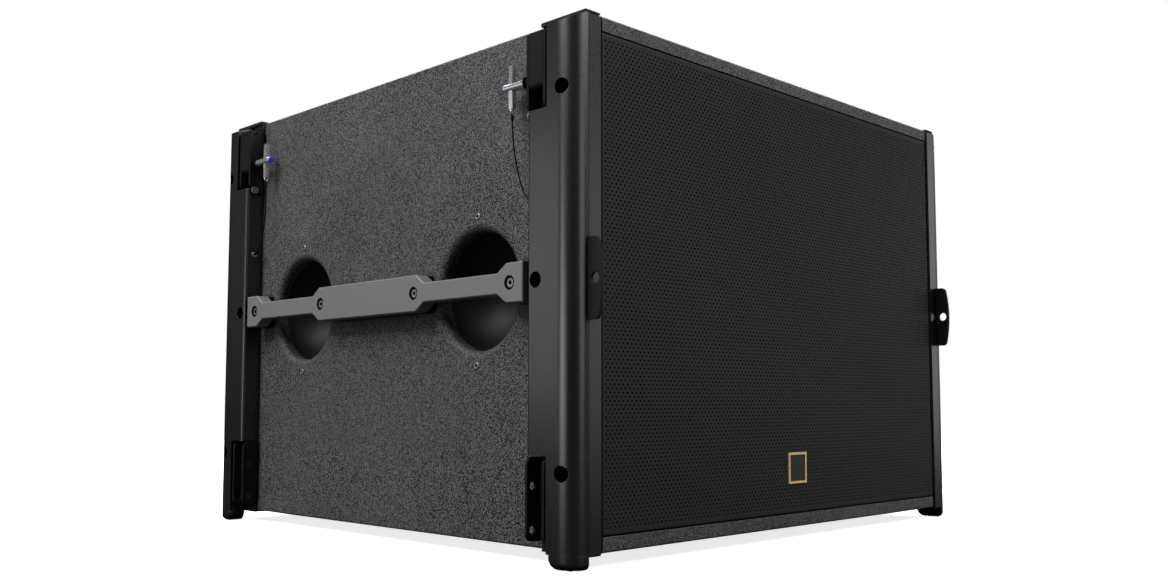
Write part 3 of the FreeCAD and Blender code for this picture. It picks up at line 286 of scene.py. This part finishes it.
# what look() is given for each of the record's material slots
FINISHES = {
    "cabinet_paint": dict(dark=grey(0.0005), light=grey(0.104), grain=700, rough=(0.5, 0.68),
        bump=(0.8, 0.0012), specular=0.3, edge_glint=0.15, round_edge=0.0012, speckle=0.185, nook_shade=0.012),
    "inner_plywood": dict(dark=grey(0.014, 0.1), light=grey(0.035, 0.15), grain=220, stretch=(1, 1, 9),
        rough=(0.6, 0.8), bump=(0.3, 0.0004)),
    "grille_steel": dict(dark=grey(0.012), light=grey(0.021), grain=2600, rough=(0.5, 0.62),
        bump=(0.12, 0.0002), specular=0.15),
    "grille_foam": dict(dark=grey(0.03), light=grey(0.06), grain=900, rough=(0.9, 1.0), bump=(0.9, 0.001),
        specular=0.1, sheen=0.05, round_edge=0.0004),
    "badge_gold": dict(dark=(0.66, 0.45, 0.19), light=(0.80, 0.58, 0.28), grain=900, stretch=(1, 1, 12),
        rough=(0.30, 0.42), bump=(0.1, 0.0001), metal=0.3, round_edge=0.0005),
    "badge_dark": dict(dark=grey(0.010), light=grey(0.016), grain=300, rough=(0.3, 0.4),
        bump=(0.05, 0.0001), specular=0.3),
    "rail_aluminium": dict(dark=grey(0.088), light=grey(0.102), grain=900, stretch=(1, 1, 0.2),
        rough=(0.27, 0.30), bump=(0.04, 0.00006), metal=1.0, specular=0.4, round_edge=0.0003, nook_shade=0.012),
    "foot_rubber": dict(dark=grey(0.012), light=grey(0.022), grain=1400, rough=(0.7, 0.85),
        bump=(0.3, 0.0003), specular=0.2),
    "cap_plastic": dict(dark=grey(0.006), light=grey(0.010), grain=1500, rough=(0.5, 0.62),
        bump=(0.2, 0.0002), specular=0.2, edge_glint=0.1),
    "rigging_steel": dict(dark=grey(0.005), light=grey(0.009), grain=1700, rough=(0.36, 0.46),
        bump=(0.14, 0.00015), specular=0.15, edge_glint=0.6, round_edge=0.0009, nook_shade=0.01),
    "black_screws": dict(dark=grey(0.15), light=grey(0.22), grain=1600, rough=(0.3, 0.42), metal=0.6,
        bump=(0.1, 0.0001), edge_glint=0.7, round_edge=0.0004, nook_shade=0.003),
    "bright_screws": dict(dark=grey(0.20), light=grey(0.28), grain=1600, rough=(0.28, 0.38), metal=0.8,
        bump=(0.1, 0.0001), edge_glint=0.4, round_edge=0.0004, nook_shade=0.006),
    "pin_steel": dict(dark=grey(0.62), light=grey(0.74), grain=2400, rough=(0.22, 0.28), metal=0.88,
        bump=(0.05, 0.00005), round_edge=0.0003),
    "pin_button": dict(dark=(0.0, 0.035, 0.42), light=(0.005, 0.06, 0.62), grain=1200, rough=(0.25, 0.35),
        bump=(0.06, 0.0001), coat=0.3, round_edge=0.0005),
    "lanyard_cable": dict(dark=grey(0.001), light=grey(0.004), grain=2500, rough=(0.45, 0.6),
        bump=(0.2, 0.0001), specular=0.1),
    "handle_metal": dict(dark=grey(0.118), light=grey(0.150), grain=2600, rough=(0.42, 0.52),
        bump=(0.12, 0.00012), edge_glint=0.3, round_edge=0.0009, nook_shade=0.012),
    "handle_block": dict(dark=grey(0.0006), light=grey(0.0018), grain=1500, rough=(0.5, 0.6),
        bump=(0.2, 0.0002), specular=0.04),
    "cup_plastic": dict(dark=grey(0.008), light=grey(0.012), grain=1300, rough=(0.42, 0.54),
        bump=(0.16, 0.0002), specular=0.12),
    "driver_cast": dict(dark=grey(0.018), light=grey(0.035), grain=1100, rough=(0.5, 0.65),
        bump=(0.3, 0.0004)),
    "driver_iron": dict(dark=grey(0.10), light=grey(0.17), grain=900, rough=(0.4, 0.55), metal=0.7,
        bump=(0.2, 0.0002)),
    "driver_paper": dict(dark=grey(0.012), light=grey(0.026), grain=700, rough=(0.75, 0.9),
        bump=(0.5, 0.0006), sheen=0.1),
    "driver_roll": dict(dark=grey(0.010), light=grey(0.018), grain=1500, rough=(0.55, 0.7),
        bump=(0.35, 0.0003)),
    "driver_cloth": dict(dark=(0.26, 0.17, 0.07), light=(0.40, 0.28, 0.13), grain=1900, rough=(0.8, 0.95),
        bump=(0.5, 0.0004), sheen=0.2),
    "driver_coil": dict(dark=(0.55, 0.27, 0.12), light=(0.72, 0.40, 0.20), grain=900,
        stretch=(0.02, 6, 0.02), rough=(0.25, 0.4), metal=1.0, bump=(0.3, 0.0002)),
    "connector_black": dict(dark=grey(0.012), light=grey(0.018), grain=1400, rough=(0.22, 0.32),
        bump=(0.06, 0.0001), coat=0.2),
    "connector_steel": dict(dark=grey(0.014), light=grey(0.022), grain=1800, rough=(0.35, 0.48),
        bump=(0.15, 0.00015), specular=0.3, edge_glint=0.3),
}
LOOKS = {slot: look(slot, **finish) for slot, finish in FINISHES.items()}


def dress_frame():
    """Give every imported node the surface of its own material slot."""
    for part in frame["record"]["subparts"]:
        thing = frame["nodes"][part["node"]]
        thing.data.materials.clear()
        thing.data.materials.append(LOOKS[part["material_slot"]])


# ---------------------------------------------------------------- mesh helpers

SHARP = math.radians(35)                        # edges that turn by more than this stay sharp


def add_mesh(name, verts, faces, slot, body, stands_for=(), smooth=False):
    """A mesh object with a slot's finish; it rides on a body, or on none yet, and may replace nodes."""
    mesh = bpy.data.meshes.new(name)
    mesh.from_pydata([tuple(v) for v in verts], [], faces)
    mesh.update()
    made = bpy.data.objects.new(name, mesh)
    bpy.context.collection.objects.link(made)
    work = bmesh.new()
    work.from_mesh(mesh)
    bmesh.ops.recalc_face_normals(work, faces=work.faces)
    work.to_mesh(mesh)
    work.free()
    if smooth:
        mesh.polygons.foreach_set("use_smooth", [True] * len(mesh.polygons))
        mesh.set_sharp_from_angle(angle=SHARP)
    mesh.materials.append(LOOKS[slot])
    if body:
        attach(made, body)
    if stands_for:
        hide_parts(*stands_for)
    return made


def solids(node):
    """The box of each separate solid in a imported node, as (lowest, highest) corners."""
    mesh = frame["nodes"][node].data
    spots = {}
    index = [spots.setdefault(tuple(round(c, 6) for c in v.co), len(spots)) for v in mesh.vertices]
    leader = list(range(len(spots)))

    def root(n):
        while leader[n] != n:
            leader[n] = leader[leader[n]]
            n = leader[n]
        return n

    for edge in mesh.edges:
        a, b = (root(index[v]) for v in edge.vertices)
        leader[a] = b
    groups = {}
    for spot, n in spots.items():
        groups.setdefault(root(n), []).append(spot)
    boxes = [(Vector(map(min, *group)), Vector(map(max, *group))) for group in groups.values()]
    return sorted(boxes, key=lambda pair: tuple(round(c, 4) for c in pair[0]))


def frame_along(direction):
    """A unit vector along a direction, and two square to it."""
    ahead = Vector(direction).normalized()
    side = ahead.orthogonal().normalized()
    return ahead, side, ahead.cross(side)


def turned(profile, centre, axis, count=32, hexagon=(), closed=False):
    """Rings about an axis from (radius, distance) pairs; the rings numbered in hexagon are six-sided."""
    ahead, side, up = frame_along(axis)
    verts, faces = [], []
    for ring, (radius, along) in enumerate(profile):
        for n in range(count):
            turn = 2 * math.pi * n / count
            reach = radius
            if ring in hexagon:
                reach = radius * math.cos(math.pi / 6) / math.cos((turn % (math.pi / 3)) - math.pi / 6)
            spoke = side * math.cos(turn) + up * math.sin(turn)
            verts.append(Vector(centre) + ahead * along + spoke * reach)
    rings = len(profile)
    for ring in range(rings if closed else rings - 1):
        here, there = ring * count, (ring + 1) % rings * count
        for n in range(count):
            faces.append((here + n, here + (n + 1) % count, there + (n + 1) % count, there + n))
    if not closed:
        faces.append(tuple(range(count)))
        faces.append(tuple(range((rings - 1) * count, rings * count))[::-1])
    return verts, faces


def joined(*shapes):
    """Several (verts, faces) shapes as one."""
    verts, faces = [], []
    for more, sides in shapes:
        start = len(verts)
        verts += list(more)
        faces += [tuple(n + start for n in side) for side in sides]
    return verts, faces


# ---------------------------------------------------------------- lanyards

# route of the front left lanyard, from its anchor on the rail up to the pin's ring
ROUTE = [(-0.4000, -0.3001, 0.3995), (-0.4000, -0.2899, 0.4035), (-0.4003, -0.2799, 0.4200),
         (-0.4010, -0.2714, 0.4465), (-0.4023, -0.2669, 0.4760), (-0.4030, -0.2664, 0.5052)]
CABLE_LENGTH, CABLE_ROUND = 0.117, 0.001        # length and radius
CABLE_STEP = 0.0009                             # about the distance between the tube's rings
STRANDS, STRAND_LAY = 6, 0.011                  # number of strands, and the length of one turn of them
STRAND_DEEP = 0.16                              # depth of the grooves between them, as a share of the radius
STRAND_BLUNT = 0.6                              # power of the wave across a strand: under 1 is blunter

# (radius, distance from the cable's end) pairs of the crimped sleeve at each end
CRIMP = [(0.0009, 0.0002), (0.0016, 0.0004), (0.0019, 0.001), (0.0019, 0.0062), (0.0016, 0.007),
         (0.0009, 0.0072)]


def smooth_line(name, points):
    """Points along the NURBS curve that has these control points."""
    data = bpy.data.curves.new(name, "CURVE")
    data.dimensions = "3D"
    data.resolution_u = 16
    spline = data.splines.new("NURBS")
    spline.points.add(len(points) - 1)
    for control, point in zip(spline.points, points):
        control.co = (*point, 1)
    spline.order_u = 3
    spline.use_endpoint_u = True
    guide = bpy.data.objects.new(name, data)
    bpy.context.collection.objects.link(guide)
    bpy.context.view_layer.update()
    line = bpy.data.meshes.new_from_object(guide)
    path = [v.co.copy() for v in line.vertices]
    bpy.data.objects.remove(guide)
    bpy.data.meshes.remove(line)
    return path


def closer_points(path, step):
    """The same line, with points about a step apart."""
    fine = []
    for a, b in zip(path, path[1:]):
        parts = max(1, round((b - a).length / step))
        fine += [a.lerp(b, n / parts) for n in range(parts)]
    return fine + [path[-1]]


def cable_tube(path, radius, count=24):
    """A laid wire rope: a tube whose section shows its strands turning along the way."""
    verts, faces = [], []
    _, side, _ = frame_along(path[1] - path[0])
    walked = 0.0
    for n, point in enumerate(path):
        ahead = (path[min(n + 1, len(path) - 1)] - path[max(n - 1, 0)]).normalized()
        side = (side - ahead * side.dot(ahead)).normalized()
        up = ahead.cross(side)
        walked += (point - path[max(n - 1, 0)]).length
        for k in range(count):
            turn = 2 * math.pi * k / count
            wave = abs(math.cos(STRANDS * (turn - 2 * math.pi * walked / STRAND_LAY) / 2))
            reach = radius * (1 - STRAND_DEEP + STRAND_DEEP * wave ** STRAND_BLUNT)
            verts.append(point + (side * math.cos(turn) + up * math.sin(turn)) * reach)
    for n in range(len(path) - 1):
        for k in range(count):
            a, b = n * count + k, n * count + (k + 1) % count
            faces.append((a, b, b + count, a + count))
    faces.append(tuple(range(count)))
    faces.append(tuple(range((len(path) - 1) * count, len(path) * count))[::-1])
    return verts, faces


def mirror_spot(point, corner):
    """A front left point carried to another corner."""
    x, y, z = point
    if "right" in corner:
        x = -x
    if "rear" in corner:
        y = 2 * MIDDLE_Y - y
    return Vector((x, y, z))


def make_lanyards():
    """The four pin lanyards, with a crimped sleeve at each end."""
    for corner in CORNERS:
        pin = "lock_pin_" + corner
        points = [mirror_spot(point, corner) for point in ROUTE]
        path = smooth_line("route_" + corner, points)
        fine = closer_points(path, CABLE_STEP)
        cable = add_mesh("cable_" + corner, *cable_tube(fine, CABLE_ROUND), "lanyard_cable", None,
                         ["lanyard_" + corner], smooth=True)
        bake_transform(cable)
        for tag, at, other, body in (("low", path[0], path[3], "cabinet"), ("high", path[-1], path[-4], pin)):
            shape = turned(CRIMP, at, (other - at).normalized(), 20)
            name = "crimp_%s_%s" % (tag, corner)
            add_mesh(name, *shape, "lanyard_cable", body, smooth=True)


# ---------------------------------------------------------------- grille

STEP_X, STEP_Z = 0.003506, 0.004529             # half the pattern's repeat across and up
HOLE = 0.42                                     # hole size as a share of its cell
BORDER = 0.0004                                 # least steel between a hole and the fold
BEND, SHEET = 0.0018, 0.0015                    # outer radius of the fold, and the sheet's thickness
CELL_TALL = (STEP_X ** 2 + STEP_Z ** 2) / (2 * STEP_Z)
CELL_WAIST = (STEP_Z ** 2 - STEP_X ** 2) / (2 * STEP_Z)
CELL = [(STEP_X, -CELL_WAIST), (STEP_X, CELL_WAIST), (0, CELL_TALL),
        (-STEP_X, CELL_WAIST), (-STEP_X, -CELL_WAIST), (0, -CELL_TALL)]
NEARLY, HAIR = 1e-6, 1e-9                       # how close to a line is on it, for corners and for clipping


def clip(poly, axis, limit, sign):
    """The part of a convex outline on one side of a line."""
    kept = []
    for here, after in zip(poly, poly[1:] + poly[:1]):
        inside, next_inside = ((p[axis] - limit) * sign <= HAIR for p in (here, after))
        if inside:
            kept.append(here)
        if inside != next_inside:
            share = (limit - here[axis]) / (after[axis] - here[axis])
            cut = [here[0] + share * (after[0] - here[0]), here[1] + share * (after[1] - here[1])]
            cut[axis] = limit
            kept.append(tuple(cut))
    return kept


def perforated_face(x0, x1, z0, z1, face):
    """The grille's flat face with its six-sided holes, and the walls of those holes, as two shapes."""
    middle_z = (z0 + z1) / 2
    verts, faces = [], []
    known = {}                                  # the number of the point at each spot, to the micrometre
    rim_verts, rim_faces = [], []

    def corner(spot):
        key = tuple(round(1e6 * c) for c in spot)
        if key not in known:
            known[key] = len(verts)
            verts.append((spot[0], face, spot[1]))
        return known[key]

    across, up = int((x1 - x0) / 2 / STEP_X) + 2, int((z1 - z0) / 2 / STEP_Z) + 2
    for i in range(-across, across + 1):
        for j in range(-up, up + 1):
            if (i + j) % 2:
                continue
            cx, cz = i * STEP_X, middle_z + j * STEP_Z
            outer = [(cx + a, cz + b) for a, b in CELL]
            inner = [(cx + HOLE * a, cz + HOLE * b) for a, b in CELL]
            for axis, limit, sign in ((0, x0, -1), (0, x1, 1), (1, z0, -1), (1, z1, 1)):
                outer = clip(outer, axis, limit, sign) if outer else outer
            if len(outer) < 3:
                continue
            reach_x = abs(cx) + HOLE * STEP_X + BORDER
            reach_z = abs(cz - middle_z) + HOLE * CELL_TALL + BORDER
            if len(outer) != 6 or reach_x > x1 or reach_z > (z1 - z0) / 2:
                ring = list(dict.fromkeys(corner(p) for p in outer))
                if len(ring) > 2:
                    faces.append(tuple(ring))
                continue
            ring, well = [corner(p) for p in outer], [corner(p) for p in inner]
            start = len(rim_verts)
            rim_verts += [(a, face, b) for a, b in inner] + [(a, face + SHEET, b) for a, b in inner]
            for n in range(6):
                m = (n + 1) % 6
                faces.append((ring[n], ring[m], well[m], well[n]))
                rim_faces.append((start + n, start + m, start + 6 + m, start + 6 + n))
    return (verts, faces), (rim_verts, rim_faces)


def fold_border(verts, faces, x0, x1, z0, z1, face, back):
    """Fold the face's border back into the pan's rim, in an arc, a flat wall and the sheet's edge."""
    edge = [n for n, v in enumerate(verts) if min(v[0] - x0, x1 - v[0], v[2] - z0, z1 - v[2]) < NEARLY]
    centre = ((x0 + x1) / 2, (z0 + z1) / 2)
    aspect = (x1 - x0) / (z1 - z0)
    edge.sort(key=lambda n: math.atan2((verts[n][2] - centre[1]) * aspect, verts[n][0] - centre[0]))
    ways = [(-1 if verts[n][0] - x0 < NEARLY else 1 if x1 - verts[n][0] < NEARLY else 0,
             -1 if verts[n][2] - z0 < NEARLY else 1 if z1 - verts[n][2] < NEARLY else 0) for n in edge]
    arc = [math.pi / 8 * step for step in range(1, 5)]
    folds = [(BEND * math.sin(turn), BEND * (1 - math.cos(turn))) for turn in arc]
    folds += [(BEND, back - face), (BEND - SHEET, back - face)]
    loop = edge
    for out, depth in folds:
        fresh = []
        for n, (way_x, way_z) in zip(edge, ways):
            fresh.append(len(verts))
            verts.append((verts[n][0] + way_x * out, face + depth, verts[n][2] + way_z * out))
        for n in range(len(edge)):
            m = (n + 1) % len(edge)
            faces.append((loop[n], loop[m], fresh[m], fresh[n]))
        loop = fresh


def make_grille():
    """Perforated steel pan with rounded folds, and the rims of its holes."""
    low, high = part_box("grille_mesh")
    flat = (low[0] + BEND, high[0] - BEND, low[2] + BEND, high[2] - BEND)
    (verts, faces), rims = perforated_face(*flat, low[1])
    fold_border(verts, faces, *flat, low[1], high[1])
    add_mesh("grille_sheet", verts, faces, "grille_steel", "cabinet", ["grille_mesh"], smooth=True)
    add_mesh("grille_hole_rims", *rims, "grille_steel", "cabinet")


FOAM_ACROSS, FOAM_UP = 150, 112                 # squares of the foam's mesh
FOAM_SOFT, FOAM_EDGE = 0.0009, 0.004            # how far its edges sink, and from how far in
FOAM_LUMP, FOAM_LUMPS = 0.00025, 160            # height and number per metre of its unevenness


def make_foam():
    """Open foam sheet pressed against the back of the grille, with an uneven cut face and soft edges."""
    low, high = (Vector(c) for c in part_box("grille_foam"))
    wide, tall = high[0] - low[0], high[2] - low[2]
    verts, faces = [], []
    for layer in (0, 1):
        for j in range(FOAM_UP + 1):
            for i in range(FOAM_ACROSS + 1):
                x, z = low[0] + wide * i / FOAM_ACROSS, low[2] + tall * j / FOAM_UP
                inset = min(x - low[0], high[0] - x, z - low[2], high[2] - z)
                soft = FOAM_SOFT * max(0.0, 1 - inset / FOAM_EDGE) ** 2
                lump = FOAM_LUMP * (1 + noise.noise(Vector((x, 3 * layer, z)) * FOAM_LUMPS))
                depth = soft + lump
                verts.append((x, low[1] + depth if layer == 0 else high[1] - depth, z))
    row, sheet = FOAM_ACROSS + 1, (FOAM_ACROSS + 1) * (FOAM_UP + 1)
    for j in range(FOAM_UP):
        for i in range(FOAM_ACROSS):
            a = j * row + i
            faces.append((a, a + 1, a + row + 1, a + row))
            faces.append((a + sheet, a + sheet + row, a + sheet + row + 1, a + sheet + 1))
    border = list(range(FOAM_ACROSS)) + [FOAM_ACROSS + j * row for j in range(FOAM_UP)]
    border += [FOAM_UP * row + FOAM_ACROSS - i for i in range(FOAM_ACROSS)]
    border += [(FOAM_UP - j) * row for j in range(FOAM_UP)]
    for a, b in zip(border, border[1:] + border[:1]):
        faces.append((a, a + sheet, b + sheet, b))
    foam = add_mesh("foam_sheet", verts, faces, "grille_foam", "cabinet", ["grille_foam"], smooth=True)


# ---------------------------------------------------------------- small parts

SCREW_RISE, SCREW_SHANK = 0.0012, 0.0020        # a cup screw's head height and shank radius

# a black ring in a handle screw's seat that stands for the shade there (painted shade), as (radius, distance
# from the bar's outer face) pairs
SEAT_SHADE_RING = [(0.0054, -0.0064), (0.0083, -0.0064), (0.0083, -0.0012), (0.0080, -0.0009),
               (0.0057, -0.0009), (0.0054, -0.0012)]
# a pin's spring washer, as (radius, distance) pairs: a neck against the channel, then a thicker ring
SPRING_WASHER = [(0.0041, 0.0001), (0.0053, 0.0001), (0.0053, 0.0060), (0.0070, 0.0060), (0.0076, 0.0066),
                 (0.0076, 0.0086), (0.0070, 0.0092), (0.0050, 0.0092), (0.0050, 0.0019), (0.0041, 0.0019)]
SPRING_BACK = 0.0454                            # from the outer end of a pin's sleeve back to that neck


def make_cup_screws():
    """Domed socket screws above and below each hand hole."""
    shapes = []
    for low, high in solids("cup_screws"):
        out, face = (-1, low[0]) if low[0] < 0 else (1, high[0])
        centre = (face, (low[1] + high[1]) / 2, (low[2] + high[2]) / 2)
        reach, length = (high[2] - low[2]) / 2, high[0] - low[0]
        profile = [(SCREW_SHANK, -length), (SCREW_SHANK, -SCREW_RISE), (reach, -SCREW_RISE),
                   (reach, -0.8 * SCREW_RISE), (0.93 * reach, -0.35 * SCREW_RISE),
                   (0.78 * reach, -0.06 * SCREW_RISE), (0.62 * reach, 0), (0.50 * reach, 0),
                   (0.48 * reach, -0.0002), (0.46 * reach, -0.0022), (0.15 * reach, -0.0024)]
        shapes.append(turned(profile, centre, (out, 0, 0), 36, hexagon=(7, 8, 9)))
    add_mesh("side_screws", *joined(*shapes), "black_screws", "cabinet", ["cup_screws"], smooth=True)


def make_seat_shade_and_spring_washers():
    """Black rings of painted shade round the handle screws in their seats, and a spring washer behind each
    pin's sleeve.
    """
    shapes = []
    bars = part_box("handle_bars")
    # painted shade: a black ring fills each screw seat, where shade falls
    for low, high in solids("handle_screws"):
        out, face = (-1, bars[0][0]) if low[0] < 0 else (1, bars[1][0])
        centre = (face, (low[1] + high[1]) / 2, (low[2] + high[2]) / 2)
        shapes.append(turned(SEAT_SHADE_RING, centre, (out, 0, 0), 40, closed=True))
    add_mesh("seat_shade_rings", *joined(*shapes), "handle_block", "cabinet", smooth=True)
    for corner in CORNERS:
        button, pin = ([Vector(c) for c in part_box(kind + corner)] for kind in ("pin_button_", "lock_pin_"))
        way = -1 if "rear" in corner else 1
        sleeve_end = (pin[1] if way > 0 else pin[0])[1]
        centre = (button[0] + button[1]) / 2
        centre.y = sleeve_end - way * SPRING_BACK
        shape = turned(SPRING_WASHER, centre, (0, way, 0), 32, closed=True)
        add_mesh("spring_washer_" + corner, *shape, "handle_block", "lock_pin_" + corner, smooth=True)


SOCKET_DEEP = 0.016                             # depth of a rear socket's well
WELL_ROUND, POST_ROUND = 0.0104, 0.0050         # radii of the well's floor and of its post
CONTACT_OUT = 0.0097                            # from the socket's centre to each contact


def make_sockets():
    """Round cable sockets with a centre post and four contacts in the well."""
    shapes = []
    for low, high in solids("connector_sockets"):
        centre = ((low[0] + high[0]) / 2, high[1], (low[2] + high[2]) / 2)
        reach, body = (high[0] - low[0]) / 2, high[1] - low[1]
        shell = [(reach - 0.0004, -body), (reach, -body + 0.0004), (reach, -0.0007),
                 (reach - 0.0006, -0.0001), (0.0112, 0), (0.0106, -0.0006), (WELL_ROUND, -SOCKET_DEEP),
                 (0.0002, -SOCKET_DEEP)]
        post = [(POST_ROUND, -SOCKET_DEEP), (POST_ROUND, -0.0035), (0.0044, -0.0028), (0.0022, -0.0028),
                (0.0020, -0.0060), (0.0001, -0.0060)]
        contact = [(0.0010, -SOCKET_DEEP), (0.0010, -0.0045), (0.0006, -0.0040)]
        shapes.append(turned(shell, centre, (0, 1, 0), 48))
        shapes.append(turned(post, centre, (0, 1, 0), 36))
        for n in range(4):
            turn = math.pi / 4 + n * math.pi / 2
            spot = Vector(centre) + Vector((math.cos(turn), 0, math.sin(turn))) * CONTACT_OUT
            shapes.append(turned(contact, spot, (0, 1, 0), 10))
    add_mesh("cable_sockets", *joined(*shapes), "connector_black", "cabinet", ["connector_sockets"],
             smooth=True)


CLOTH_THICK, CLOTH_WAVES, CLOTH_STEPS = 0.0006, 6, 72   # corrugations, and points across them
COIL_GAP = 0.0003                               # between the voice coil and the cloth


def make_spider():
    """Corrugated cloth ring that centres the voice coil."""
    low, high = (Vector(c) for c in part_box("driver_spider"))
    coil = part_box("driver_voice_coil")
    centre = ((low[0] + high[0]) / 2, low[1], (low[2] + high[2]) / 2)
    inner, outer = (coil[1][0] - coil[0][0]) / 2 + COIL_GAP, (high[0] - low[0]) / 2
    room = (high[1] - low[1] - CLOTH_THICK) / 2
    there = [(inner + (outer - inner) * n / CLOTH_STEPS,
              room * (1 + math.sin(2 * math.pi * CLOTH_WAVES * n / CLOTH_STEPS)))
             for n in range(CLOTH_STEPS + 1)]
    profile = there + [(radius, along + CLOTH_THICK) for radius, along in reversed(there)]
    shape = turned(profile, centre, (0, 1, 0), 72, closed=True)
    add_mesh("spider_cloth", *shape, "driver_cloth", "cabinet", ["driver_spider"], smooth=True)


# ---------------------------------------------------------------- floor

FLOOR_HALF, FLOOR_GAP = 20, 0.0002              # half its width, and its distance below the object
FLOOR_GLOW = (0.80, 1.0)                        # emission near the object and far from it
GLOW_FROM, GLOW_TO = 0.6, 2.0                   # where that change begins and ends
FLOOR_DIM = 0.03                                # the floor's grey for every ray but the camera's
PAPER_DARK, PAPER_LIGHT, FIBRES = 0.86, 0.90, 300   # its grey for the camera, and its grain per metre


def make_floor():
    """A plain pale floor that throws little light back at the object."""
    work = bmesh.new()
    bmesh.ops.create_grid(work, x_segments=8, y_segments=8, size=FLOOR_HALF)
    mesh = bpy.data.meshes.new("floor")
    work.to_mesh(mesh)
    work.free()
    floor = bpy.data.objects.new("floor", mesh)
    floor.location = (0, 0, cad_box[0][2] - FLOOR_GAP)
    bpy.context.collection.objects.link(floor)
    material = bpy.data.materials.new("floor_paper")
    material.use_nodes = True
    nodes, links = material.node_tree.nodes, material.node_tree.links
    shader = nodes["Principled BSDF"]
    shader.inputs["Specular IOR Level"].default_value = 0.1
    shader.inputs["Roughness"].default_value = 0.9
    shader.inputs["Emission Color"].default_value = (1, 1, 1, 1)
    where = nodes.new("ShaderNodeTexCoord")
    away = nodes.new("ShaderNodeVectorMath")
    away.operation = "LENGTH"
    links.new(where.outputs["Object"], away.inputs[0])
    links.new(spread(nodes, links, away.outputs["Value"], *FLOOR_GLOW, GLOW_FROM, GLOW_TO),
              shader.inputs["Emission Strength"])
    fibres = texture(nodes, links, FIBRES)
    paper = mixed(nodes, links, grey(PAPER_DARK), grey(PAPER_LIGHT), fibres)
    links.new(paper, shader.inputs["Base Color"])
    dim = nodes.new("ShaderNodeBsdfDiffuse")
    dim.inputs["Color"].default_value = (*grey(FLOOR_DIM), 1)
    path = nodes.new("ShaderNodeLightPath")
    mix = nodes.new("ShaderNodeMixShader")
    links.new(path.outputs["Is Camera Ray"], mix.inputs["Fac"])
    links.new(dim.outputs[0], mix.inputs[1])
    links.new(shader.outputs[0], mix.inputs[2])
    links.new(mix.outputs[0], nodes["Material Output"].inputs["Surface"])
    mesh.materials.append(material)


make_camera()
make_studio()
make_floor()
dress_frame()
make_lanyards()
make_grille()
make_foam()
make_cup_screws()
make_seat_shade_and_spring_washers()
make_sockets()
make_spider()
